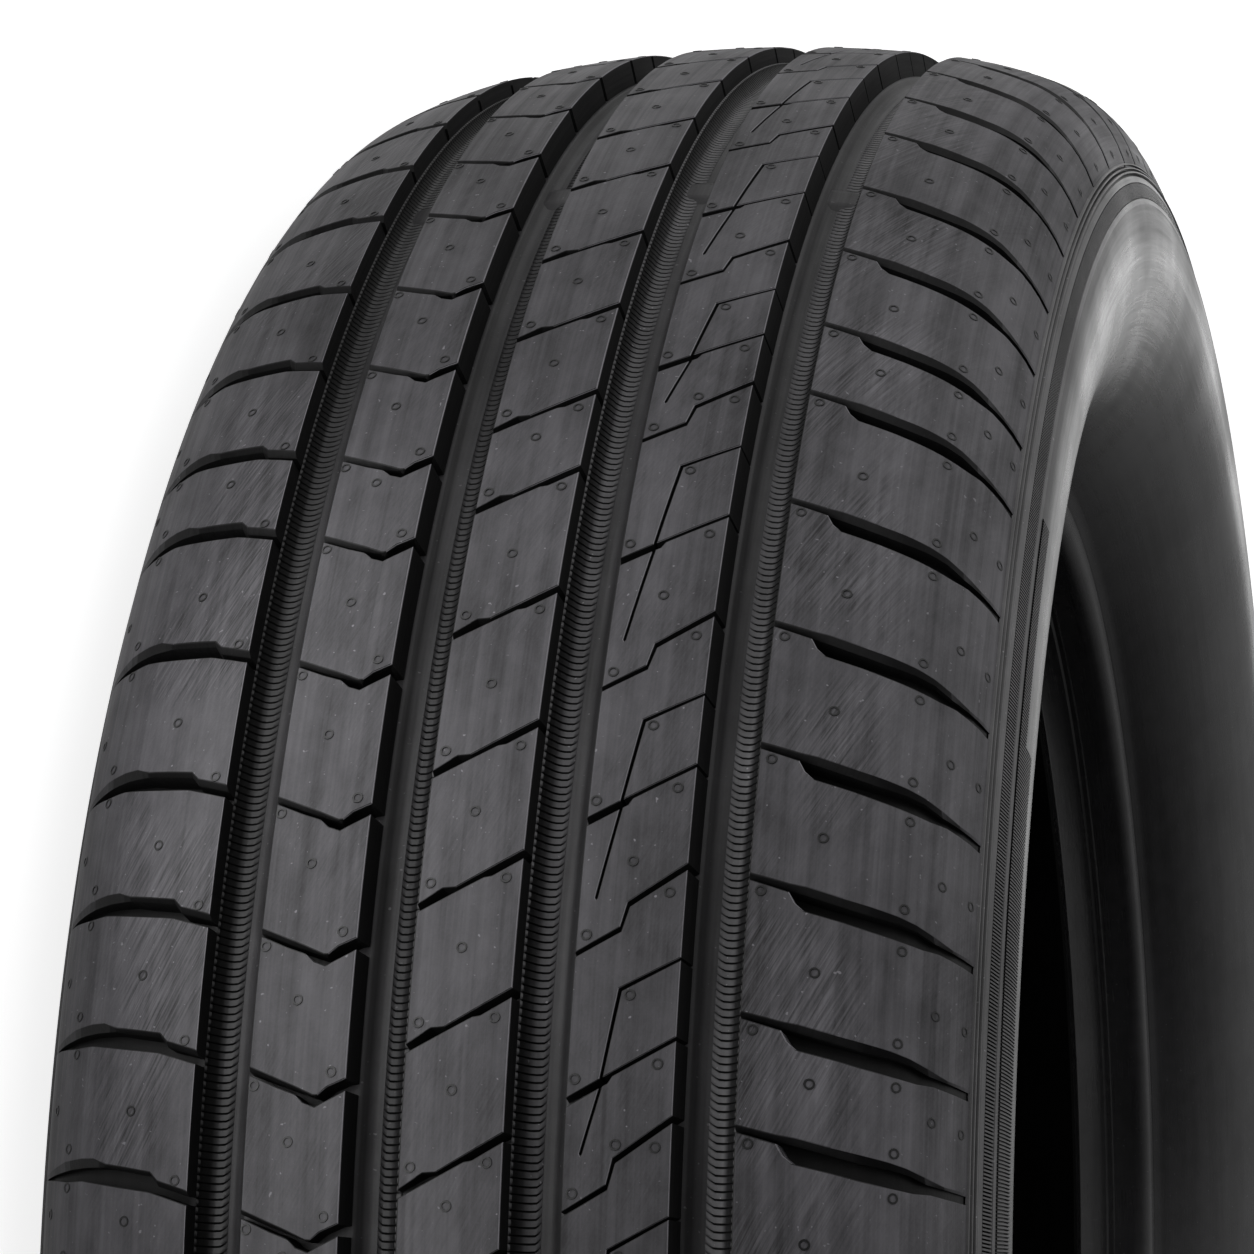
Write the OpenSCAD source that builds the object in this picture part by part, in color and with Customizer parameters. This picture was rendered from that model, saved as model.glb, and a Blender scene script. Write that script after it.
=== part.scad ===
// Passenger car tyre, unmounted, lying on its side.
// One vulcanised moulding: crown with five ribs, two sidewalls and two beads.
// The axis is Z and the lower sidewall rests on z = 0.

/* [Overall size] */
// Outer diameter over the middle rib
outer_d = 632; // [590:2:680]
// Width over the two sidewalls, beads unspread
section_w = 198; // [186:1:216]
// Diameter at which the sidewall is widest
widest_d = 528; // [514:2:540]
// Diameter of the bead seats, for a 16 inch rim
bead_d = 405.6; // [395:0.4:414]
// Distance between the two bead toes
bead_gap = 88; // [76:1:100]

/* [Crown] */
// Width between the two tread edges
tread_w = 187.2; // [176:0.4:200]
// Radius of the flat arc across the middle of the tread
centre_arc_r = 320; // [260:10:500]
// Radius of the arc on each side of the middle
side_arc_r = 110; // [90:5:160]
// Width of that side arc, along the axis
side_arc_w = 25; // [18:1:30]
// Radius of the rounded shoulder
shoulder_r = 32; // [26:1:36]
// Lean of the tread surface at its edge, in degrees from level
edge_lean = 75; // [68:1:82]
// Height of the moulded lip that ends the tread
edge_lip = 1.2; // [0.6:0.1:2]
// Distance from that lip to the moulded ring below it
ring_drop = 4; // [3:0.25:6]
// Width of the moulded ring
ring_w = 1.3; // [0.8:0.1:2]
// Height of the moulded ring above the sidewall
ring_h = 0.8; // [0.4:0.1:1.2]

/* [Main grooves] */
// Depth of the four grooves round the tread
groove_depth = 8; // [6:0.25:9]
// Width of each groove at the tread surface
groove_w = 11.8; // [9:0.2:14]
// Slope of the groove walls, in degrees
groove_draft = 9; // [4:1:14]
// Radius in the bottom corners of a groove
groove_fillet = 2; // [1:0.25:3]
// Width of each of the three middle ribs
rib_w = 20.3; // [16:0.1:24]
// Height of the wear bars in the groove floors
wear_bar_h = 1.6; // [1:0.1:2.5]
// Length of a wear bar round the tread
wear_bar_l = 9; // [6:1:14]
// Number of places round the tyre that have wear bars
wear_bars_round = 6; // [4:1:8]

/* [Sipes and slots] */
// Depth of the fine cuts in the middle ribs
sipe_depth = 6; // [4:0.25:7]
// Width of a fine cut
sipe_w = 0.7; // [0.5:0.05:1]
// Width of a cut where it opens out
sipe_wide = 1.45; // [1:0.05:2]
// Width of the blade cut that crosses the fourth rib
blade_w = 0.6; // [0.4:0.05:0.9]
// Depth of the slots in the two shoulder ribs
slot_depth = 6.5; // [4:0.25:7.5]
// Width of a slot in the right shoulder
slot_right_w = 3; // [2:0.1:4]
// Width of a slot in the left shoulder
slot_left_w = 3.6; // [2.4:0.1:4.4]

/* [Walls] */
// Thickness under the middle of the tread, rib included
crown_t = 14.5; // [13:0.5:18]
// Thickness at the tread edge
shoulder_t = 15; // [13:0.5:18]
// Thickness of the sidewall
wall_t = 9; // [7:0.5:11]
// Length of the straight part of each bead seat
seat_l = 10; // [7:0.5:12]
// Width of a bead from toe to heel
bead_w = 21; // [19:0.5:23]
// Height above the seat at which the bead turns into the sidewall
bead_h = 8.5; // [7:0.5:11]
// Radius of the bead heel
heel_r = 5.5; // [4:0.5:7]

/* [Hidden] */
$fn = 180;
rubber = [0.2, 0.2, 0.21];
clear = 2;            // how far a cutter runs past the surface that it cuts
outer_r = outer_d / 2;
mid_z = section_w / 2;

// The pitches of the pattern come in three lengths, so that the tyre does not sing.
short = 4;
medium = 5.05;
long = 5.61;
pitch_run = [medium, long, medium, medium, short, long, long,
             medium, medium, medium, short, long, long, long];
runs = 5;             // the sequence is used this many times round the tread
n_pitch = len(pitch_run) * runs;
function total(v, n) = n == 0 ? 0 : v[n - 1] + total(v, n - 1);
run_sum = total(pitch_run, len(pitch_run));
// Place of pitch i in degrees round the tread. Pitches fall from first_pitch down.
first_pitch = 54.2;
first_bar = 51.5;
function pitch_at(i) = first_pitch - 360 / runs / run_sum
    * (floor(i / len(pitch_run)) * run_sum + total(pitch_run, i % len(pitch_run)));

// Crown section: three arcs on each side, each one tangent to the next.
half_tread = tread_w / 2;
arc1_x = (half_tread - side_arc_w * (1 - shoulder_r / side_arc_r) - shoulder_r * sin(edge_lean))
    / (1 - shoulder_r / centre_arc_r);
arc2_x = arc1_x + side_arc_w;
lean1 = asin(arc1_x / centre_arc_r);
lean2 = asin(sin(lean1) + side_arc_w / side_arc_r);
drop1 = centre_arc_r * (1 - cos(lean1));
drop2 = drop1 + side_arc_r * (cos(lean1) - cos(lean2));
edge_drop = drop2 + shoulder_r * (cos(lean2) - cos(edge_lean));
edge_r = outer_r - edge_drop;
// Radius of the tread surface at a distance x from the middle plane
function lean_at(x) = abs(x) < arc1_x ? asin(abs(x) / centre_arc_r)
    : abs(x) < arc2_x ? asin(sin(lean1) + (abs(x) - arc1_x) / side_arc_r)
    : asin(min(sin(edge_lean), sin(lean2) + (abs(x) - arc2_x) / shoulder_r));
function tread_r(x) = outer_r - (abs(x) < arc1_x ? centre_arc_r * (1 - cos(lean_at(x)))
    : abs(x) < arc2_x ? drop1 + side_arc_r * (cos(lean1) - cos(lean_at(x)))
    : drop2 + shoulder_r * (cos(lean2) - cos(lean_at(x))));

// Points [x, r] of the section, x from the middle plane and r from the axis
function arc(cx, cr, r, a, b, n) = [for (i = [0:n]) let (t = a + (b - a) * i / n)
    [cx + r * cos(t), cr + r * sin(t)]];
function bend(a, c, b, n) = [for (i = [0:n]) let (t = i / n)
    a * (1 - t) * (1 - t) + c * 2 * t * (1 - t) + b * t * t];
wall_x = section_w / 2;
wall_r = widest_d / 2;
edge_x = half_tread + edge_lip * 0.5;
rise = edge_r - edge_lip - wall_r;
run_in = wall_x - edge_x;
upper_arc_r = (run_in * run_in + rise * rise) / (2 * run_in);
upper_end = asin(rise / upper_arc_r);
ring_r = edge_r - edge_lip - ring_drop;
// Point of the upper sidewall at radius r, moved out by a height
function wall_at(r, out) =
    [wall_x - upper_arc_r + sqrt(upper_arc_r * upper_arc_r - (r - wall_r) * (r - wall_r)) + out, r];
bead_r = bead_d / 2;
toe_x = bead_gap / 2;
heel_x = toe_x + bead_w;
toe_rise = 1.6;
heel_out = 0.6;       // the heel stands out this far past the bead's width
heel_mid = heel_x - heel_r + heel_out;
// The lower sidewall: one arc from the widest place down to the bead, and the crease under it
flange_out = 4.5;
flange = [heel_x + flange_out, bead_r + bead_h];
crease = [heel_x + flange_out / 3, bead_r + bead_h * 0.8];
lower_dx = wall_x - flange[0];
lower_dr = wall_r - flange[1];
lower_arc_r = (lower_dx * lower_dx + lower_dr * lower_dr) / (2 * lower_dx);
lower_end = asin(lower_dr / lower_arc_r);
function crown_at(x) = [x, tread_r(x)];
groove_pitch = groove_w + rib_w;
groove_mid = [-1.5 * groove_pitch, -0.5 * groove_pitch, 0.5 * groove_pitch, 1.5 * groove_pitch];
break_off = groove_w / 4;  // the crown's facets meet inside the grooves
crown_side = [[groove_mid[2] - break_off, outer_r], crown_at(groove_mid[2] + break_off),
    crown_at(groove_mid[3] - break_off), crown_at(groove_mid[3] + break_off),
    crown_at((groove_mid[3] + arc2_x) / 2 + 2), crown_at(arc2_x)];
shoulder_side = [for (i = [1:4]) crown_at(arc2_x
    + shoulder_r * (sin(lean2 + (edge_lean - lean2) * i / 4) - sin(lean2)))];
outer_side = concat(crown_side, shoulder_side,
    [[edge_x, edge_r - edge_lip], wall_at(ring_r, 0), wall_at(ring_r, ring_h),
     wall_at(ring_r - ring_w, ring_h), wall_at(ring_r - ring_w, 0)],
    arc(wall_x - upper_arc_r, wall_r, upper_arc_r, upper_end * 0.6, 0, 4),
    arc(wall_x - lower_arc_r, wall_r, lower_arc_r, -lower_end / 6, -lower_end, 5), [crease],
    arc(heel_mid, bead_r + heel_r, heel_r, -8, -90, 4),
    [[heel_mid - seat_l, bead_r], [toe_x + toe_rise / 2, bead_r + toe_rise / 2], [toe_x, bead_r + toe_rise]]);
inner_lower_r = lower_arc_r - wall_t;
inner_upper_r = upper_arc_r - wall_t;
inner_turn = 20;      // the liner leaves its arc under the shoulder at this many degrees
inner_top = [wall_x - upper_arc_r + inner_upper_r * cos(inner_turn),
             wall_r + inner_upper_r * sin(inner_turn)];
inner_end = lower_end * 0.6;
inner_low = [wall_x - lower_arc_r + inner_lower_r * cos(inner_end), wall_r - inner_lower_r * sin(inner_end)];
inner_mid = [arc1_x + 4, outer_r - crown_t - 3.5];
inner_toe = [toe_x - 2.2, bead_r + bead_h / 2];
inner_side = concat(
    bend(inner_toe, [toe_x + 6, inner_low[1] - 6], inner_low, 4),
    arc(wall_x - lower_arc_r, wall_r, inner_lower_r, -inner_end * 0.8, 0, 4),
    arc(wall_x - upper_arc_r, wall_r, inner_upper_r, inner_turn / 3, inner_turn * 2 / 3, 1),
    bend(inner_top, [half_tread - shoulder_t * 0.75, outer_r - crown_t - 8], inner_mid, 4),
    [[arc1_x / 3, outer_r - crown_t]]);
function reversed(v) = [for (i = [len(v) - 1:-1:0]) v[i]];
half_outline = concat(reversed(inner_side), reversed(outer_side));

// Places of the ribs across the tread, from the left shoulder to the right one
rib_from = [-half_tread, for (g = groove_mid) g + groove_w / 2];
rib_to = [for (g = groove_mid) g - groove_w / 2, half_tread];
function mm(degrees) = degrees * PI / 180 * (outer_r - 3);

// The whole section, drawn as the revolve wants it: radius across, axis up
module section() {
    polygon([for (p = half_outline) [p[1], p[0]], for (p = reversed(half_outline)) [p[1], -p[0]]]);
}

module groove_section(mid) {
    top_r = tread_r(mid);
    floor_r = outer_r - groove_depth - (outer_r - tread_r(mid)) * 0.8;
    lean = (top_r - floor_r) * tan(groove_draft);
    side = groove_w / 2;
    base = side - lean;
    flare = clear * tan(groove_draft);
    half = [[top_r + clear, side + flare], [floor_r + groove_fillet, base + groove_fillet * tan(groove_draft)],
            for (t = [60, 30, 0]) [floor_r + groove_fillet * (1 - cos(t)),
                                   base - groove_fillet * (1 - sin(t))]];
    polygon([for (p = half) [p[0], mid + p[1]], for (p = reversed(half)) [p[0], mid - p[1]]]);
}

module blank() {
    translate([0, 0, mid_z]) rotate_extrude() difference() {
        section();
        for (g = groove_mid) groove_section(g);
    }
}

// Stands children on the tread: x across it, y up round it, z out from the axis
module on_tread(angle) {
    rotate([0, 0, -90 - angle]) translate([0, 0, mid_z]) rotate(180, [1, 0, 1]) children();
}

module cut(points, depth, mid) {
    translate([0, 0, tread_r(mid) - depth]) linear_extrude(depth + 2 * clear) polygon(points);
}

// Second rib: a chevron that opens out under its point
module chevron_sipe() {
    a = rib_from[1];
    b = rib_to[1];
    tip = b - 0.28 * rib_w;
    left_slope = -tan(20);
    right_slope = tan(29);
    y0 = mm(-0.74);
    y_tip = y0 + left_slope * (tip - a);
    open = sipe_wide + 0.4;
    cut([[a - clear, y0 - clear * left_slope], [tip, y_tip],
         [b + clear, y_tip + right_slope * (b + clear - tip)],
         [b + clear, y_tip + right_slope * (b + clear - tip) - open], [tip, y_tip - open],
         [tip - 4, y_tip - sipe_w - left_slope * 4],
         [a - clear, y0 - sipe_w - clear * left_slope]], sipe_depth, a + rib_w / 2);
}

// Third rib: one straight cut, opened out above at the left and below at the right
module straight_sipe() {
    a = rib_from[2];
    b = rib_to[2];
    slope = tan(30);
    more = sipe_wide - sipe_w;
    function y(x) = mm(-0.05) + slope * (x - a);
    cut([[a - clear, y(a - clear)], [b - 6.6, y(b - 6.6)], [b - 5.4, y(b - 5.4) - more],
         [b + clear, y(b + clear) - more], [b + clear, y(b + clear) + sipe_w],
         [a + 6.6, y(a + 6.6) + sipe_w], [a + 5.4, y(a + 5.4) + sipe_wide],
         [a - clear, y(a - clear) + sipe_wide]], sipe_depth, 0);
}

// Fourth rib: a stepped cut, a plain cut and a long blade cut that crosses the plain one
module stepped_sipe() {
    a = rib_from[3];
    b = rib_to[3];
    step = a + 0.42 * rib_w;
    y0 = mm(-1.56);
    y1 = y0 + tan(30) * (step - a);
    y2 = y1 + 5;
    slope = tan(34);
    cut([[a - clear, y0 - clear * tan(30) - sipe_w], [step + 0.5, y1 - sipe_w],
         [step + 1.9, y2 - 1.3 * sipe_w], [b + clear, y2 + slope * (b + clear - step - 1.6) - sipe_wide],
         [b + clear, y2 + slope * (b + clear - step - 1.6)], [step + 1.3, y2],
         [step - 0.1, y1], [a - clear, y0 - clear * tan(30)]], sipe_depth, a + rib_w / 2);
}

module plain_sipe() {
    a = rib_from[3];
    b = rib_to[3];
    slope = tan(31.5);
    y0 = mm(-1.12);
    wide_to = a + 0.4 * rib_w;
    function y(x) = y0 + slope * (x - a);
    cut([[a - clear, y(a - clear) - sipe_wide], [wide_to, y(wide_to) - sipe_wide],
         [wide_to + 0.8, y(wide_to + 0.8) - sipe_w], [b + clear, y(b + clear) - sipe_w],
         [b + clear, y(b + clear)], [a - clear, y(a - clear)]], sipe_depth, a + rib_w / 2);
}

module blade_sipe(reach) {
    a = rib_from[3];
    b = rib_to[3];
    knee = a + 0.46 * rib_w;
    foot = a + 0.19 * rib_w;
    y_knee = mm(reach / 2);
    y_end = y_knee + mm(1.16);
    y_foot = -mm(reach / 2);
    tilt = atan2(y_knee - y_foot, knee - foot);
    off = blade_w / sin(tilt) / 2;
    cut([[foot - off, y_foot], [foot + off, y_foot], [knee + off, y_knee - blade_w * 0.6],
         [b + clear, y_end + clear * 0.1 - blade_w * 0.6], [b + clear, y_end + clear * 0.1 + blade_w * 0.6],
         [knee - off, y_knee + blade_w * 0.4]], sipe_depth, a + rib_w / 2);
}

// A band that follows the shoulder at a depth that runs out at the tread edge
module shoulder_band(from, depth, fade) {
    stops = [from, arc2_x - 4, arc2_x + 6, half_tread - 5, half_tread];
    rotate([90, 0, 0]) translate([0, 0, -15]) linear_extrude(30)
        polygon([[from, outer_r + clear], for (x = stops) let (left = min(1, (half_tread - x) / fade))
            [x, tread_r(x) - depth * left - 0.15 * (1 - left)],
            [half_tread + clear, outer_r + clear]]);
}

// Fifth rib: a fine cut that steps open into a slot and runs out over the shoulder
module right_slot() {
    a = rib_from[4];
    e = half_tread;
    step = a + 8;
    function y(x) = 1 - 0.19 * (x - a - 20) - (x > e - 12 ? 0.12 * (x - e + 12) : 0);
    intersection() {
        translate([0, 0, edge_r - slot_depth]) linear_extrude(edge_drop + slot_depth + clear)
            polygon([[a - clear, y(a - clear)], [e - 12, y(e - 12)], [e + clear, y(e + clear)],
                     [e + clear, y(e + clear) - 1.6], [e - 8, y(e - 8) - slot_right_w],
                     [step + 1.8, y(step + 1.8) - slot_right_w],
                     [step, y(step) - sipe_w], [a - clear, y(a - clear) - sipe_w]]);
        shoulder_band(a - clear, slot_depth, 24);
    }
}

// First rib: the same idea turned the other way, with its step on the upper side
module left_slot() {
    a = -rib_to[0];
    e = half_tread;
    step = a + 7.5;
    function y(x) = mm(-0.35) + 0.16 * (x - a) - (x > e - 12 ? 0.1 * (x - e + 12) : 0);
    intersection() {
        translate([0, 0, edge_r - slot_depth]) linear_extrude(edge_drop + slot_depth + clear)
            mirror([1, 0]) polygon([[a - clear, y(a - clear)], [e - 12, y(e - 12)],
                     [e + clear, y(e + clear)], [e + clear, y(e + clear) + 2],
                     [a + 20, y(a + 20) + slot_left_w],
                     [step + 1.2, y(step + 1.2) + slot_left_w], [step, y(step) + sipe_w],
                     [a - clear, y(a - clear) + sipe_w]]);
        mirror([1, 0, 0]) shoulder_band(a - clear, slot_depth, 24);
    }
}

module wear_bars() {
    for (i = [0:wear_bars_round - 1]) for (g = groove_mid)
        on_tread(first_bar + i * 360 / wear_bars_round)
            translate([g - groove_w / 2, -wear_bar_l / 2, tread_r(g) - groove_depth - clear])
                cube([groove_w, wear_bar_l, clear + wear_bar_h]);
}

module tyre() {
    color(rubber) difference() {
        union() {
            blank();
            wear_bars();
        }
        for (i = [0:n_pitch - 1]) {
            at = pitch_at(i);
            on_tread(at) chevron_sipe();
            on_tread(at) straight_sipe();
            on_tread(at) left_slot();
            on_tread(at + 5.4) right_slot();
            if (i % 2 == 1) on_tread(at + 5) stepped_sipe();
            if (i % 2 == 0) on_tread(at + 4.5) plain_sipe();
            if (i % 2 == 1) {
                top = at + 2.19;
                foot = pitch_at(i + 2) + 5.4;
                on_tread((top + foot) / 2) blade_sipe(top - foot);
            }
        }
    }
}

tyre();
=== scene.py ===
import bmesh
import bpy
from math import asin, atan2, cos, degrees, hypot, pi, radians, sin, sqrt, tan
from mathutils import Matrix, Vector


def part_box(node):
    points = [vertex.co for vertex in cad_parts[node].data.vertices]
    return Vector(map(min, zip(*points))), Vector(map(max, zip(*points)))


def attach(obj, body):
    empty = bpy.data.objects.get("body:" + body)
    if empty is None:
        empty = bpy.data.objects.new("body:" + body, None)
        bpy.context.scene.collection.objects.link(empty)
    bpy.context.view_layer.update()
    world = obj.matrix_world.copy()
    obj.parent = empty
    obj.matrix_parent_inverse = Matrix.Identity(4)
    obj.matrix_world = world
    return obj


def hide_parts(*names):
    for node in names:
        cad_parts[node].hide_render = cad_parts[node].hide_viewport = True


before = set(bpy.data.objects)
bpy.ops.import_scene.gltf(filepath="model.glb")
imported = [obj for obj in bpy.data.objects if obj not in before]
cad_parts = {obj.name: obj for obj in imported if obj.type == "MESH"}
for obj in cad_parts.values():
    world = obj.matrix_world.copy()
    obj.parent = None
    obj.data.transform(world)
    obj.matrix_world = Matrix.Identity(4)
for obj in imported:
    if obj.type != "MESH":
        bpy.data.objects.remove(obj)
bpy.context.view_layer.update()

# Centre rib
# The rib under the middle of the tread, black rubber moulded in one with the casing. Thin steel
# blades in the mould leave one fine cut a pitch, which parts the rib into blocks.
tyre_low, tyre_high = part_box("tyre")
middle = (tyre_low.z + tyre_high.z) / 2
millimetre = 0.001
# The vent marks stand out from the tread by this much and end at the tyre's full radius
vent_height = 0.18
tread_radius = tyre_high.y / millimetre - vent_height
half_tread = 93.6
# The arcs of the tread's section from its middle outwards: where each starts and ends, and its radius
crown_arcs = [(0.0, 50.0, 320.0), (50.0, 75.0, 110.0), (75.0, half_tread, 32.0)]


def crown(x):
    """Radius of the tread surface in millimetres, x across the tread from its middle."""
    x = min(abs(x), half_tread)
    lean = 0.0
    radius = tread_radius
    for start, end, arc in crown_arcs:
        if x <= start:
            break
        turned = asin(min(1.0, sin(lean) + (min(x, end) - start) / arc))
        radius -= arc * (cos(lean) - cos(turned))
        lean = turned
    return radius


# The three pitch lengths in degrees, in the order that keeps the tyre from singing
short, medium, long = 4.0, 5.05, 5.61
pitch_run = [medium, long, medium, medium, short, long, long,
             medium, medium, medium, short, long, long, long]
runs_round = 5
pitches = pitch_run * runs_round
fit_round = 360 / sum(pitches)
# Where each pitch starts, in degrees round the tyre
first_mark = 54.2
marks = [first_mark]
for pitch in pitches:
    marks.append(marks[-1] - pitch * fit_round)
# Length of one degree round the tread
round_mm = tread_radius * pi / 180


def follow(line, x):
    """Height of a cut's edge at x, with its end stretches carried on straight."""
    pairs = list(zip(line, line[1:]))
    for a, b in pairs:
        if x <= b[0]:
            break
    return a[1] + (b[1] - a[1]) * (x - a[0]) / (b[0] - a[0])


def edge_points(line, others, left, right):
    """The edge between the two sides of a rib, with a point wherever it or another edge bends."""
    stops = {round(p[0], 3) for edge in [line, *others] for p in edge if left + 0.3 < p[0] < right - 0.3}
    return [(x, follow(line, x)) for x in [left, *sorted(stops), right]]


def outline(low, high, left_out=0.0, right_out=0.0):
    """Round a block: its lower edge from left to right, then its upper edge back, with its two sides
    moved outwards."""
    edges = []
    for (left, start), *between, (right, end) in (low, high):
        edges.append([(left - left_out, start), *between, (right + right_out, end)])
    return edges[0] + edges[1][::-1]


def cast_block(levels, soft_edge=0.3, cut_x=(), cut_y=()):
    """A block raised through its outlines from the foot to the tread surface, with its rim rounded
    and its faces divided, so that it can follow the curve of the tyre."""
    bm = bmesh.new()
    depth, ring = levels[0]
    face = bm.faces.new([bm.verts.new((x, y, depth)) for x, y in ring])
    for step, (depth, ring) in enumerate(levels[1:]):
        grown = bmesh.ops.extrude_face_region(bm, geom=[face], use_keep_orig=step == 0)["geom"]
        face = next(part for part in grown if isinstance(part, bmesh.types.BMFace))
        for v, (x, y) in zip(face.verts, ring):
            v.co = x, y, depth
    bmesh.ops.recalc_face_normals(bm, faces=bm.faces)
    bmesh.ops.bevel(bm, geom=list(face.edges), offset=soft_edge, offset_type="OFFSET", segments=2,
                    profile=0.5, affect="EDGES", clamp_overlap=True, material=-1)
    for place, way in [((x, 0, 0), (1, 0, 0)) for x in cut_x] + [((0, y, 0), (0, 1, 0)) for y in cut_y]:
        bmesh.ops.bisect_plane(bm, geom=bm.verts[:] + bm.edges[:] + bm.faces[:], dist=0.02,
                               plane_co=place, plane_no=way)
    bmesh.ops.dissolve_degenerate(bm, dist=0.01, edges=bm.edges)
    return bm


def roll_up(bm, angle=0.0, thin=None):
    """Bends flat work in millimetres round the tyre: x across the tread, y round it, z outwards."""
    for v in bm.verts:
        x, y, z = v.co
        radius = (crown(x) + (z * thin(x) if thin else z)) * millimetre
        turn = y / tread_radius + radians(angle)
        v.co = -radius * sin(turn), -radius * cos(turn), middle + x * millimetre
    bmesh.ops.recalc_face_normals(bm, faces=bm.faces)


def lay_round(name, pieces, material, weld=0.0, crisp=38):
    """One piece out of rolled-up meshes, each turned to its own angle. Edges sharper than the crisp
    angle stay sharp."""
    whole = bmesh.new()
    for mesh, angle in pieces:
        turned = mesh.copy()
        turned.transform(Matrix.Rotation(radians(-angle), 4, "Z"))
        whole.from_mesh(turned)
        bpy.data.meshes.remove(turned)
    if weld:
        bmesh.ops.remove_doubles(whole, verts=whole.verts, dist=weld)
        bmesh.ops.recalc_face_normals(whole, faces=whole.faces)
    finish_piece(name, whole, material, crisp)


def finish_piece(name, bm, material, crisp):
    mesh = bpy.data.meshes.new(name)
    bm.to_mesh(mesh)
    bm.free()
    mesh.shade_smooth()
    mesh.set_sharp_from_angle(angle=radians(crisp))
    mesh.materials.append(material)
    piece = bpy.data.objects.new(name, mesh)
    bpy.context.collection.objects.link(piece)
    even = piece.modifiers.new("even_shading", "WEIGHTED_NORMAL")
    even.weight = 60
    even.keep_sharp = True
    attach(piece, "root")
    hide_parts("tyre")


def as_mesh(bm):
    mesh = bpy.data.meshes.new("work")
    bm.to_mesh(mesh)
    bm.free()
    return mesh


def evenly(start, end, step):
    """Places between a start and an end, near enough a step apart, without the two ends."""
    count = max(1, round((end - start) / step))
    return [start + (end - start) * i / count for i in range(1, count)]


def maths(tree, operation, *values):
    """A sum in a material's nodes. Each value is a number or what another node gives."""
    node = tree.nodes.new("ShaderNodeMath")
    node.operation = operation
    for slot, value in zip(node.inputs, values):
        if isinstance(value, (int, float)):
            slot.default_value = value
        else:
            tree.links.new(value, slot)
    return node.outputs[0]


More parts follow.
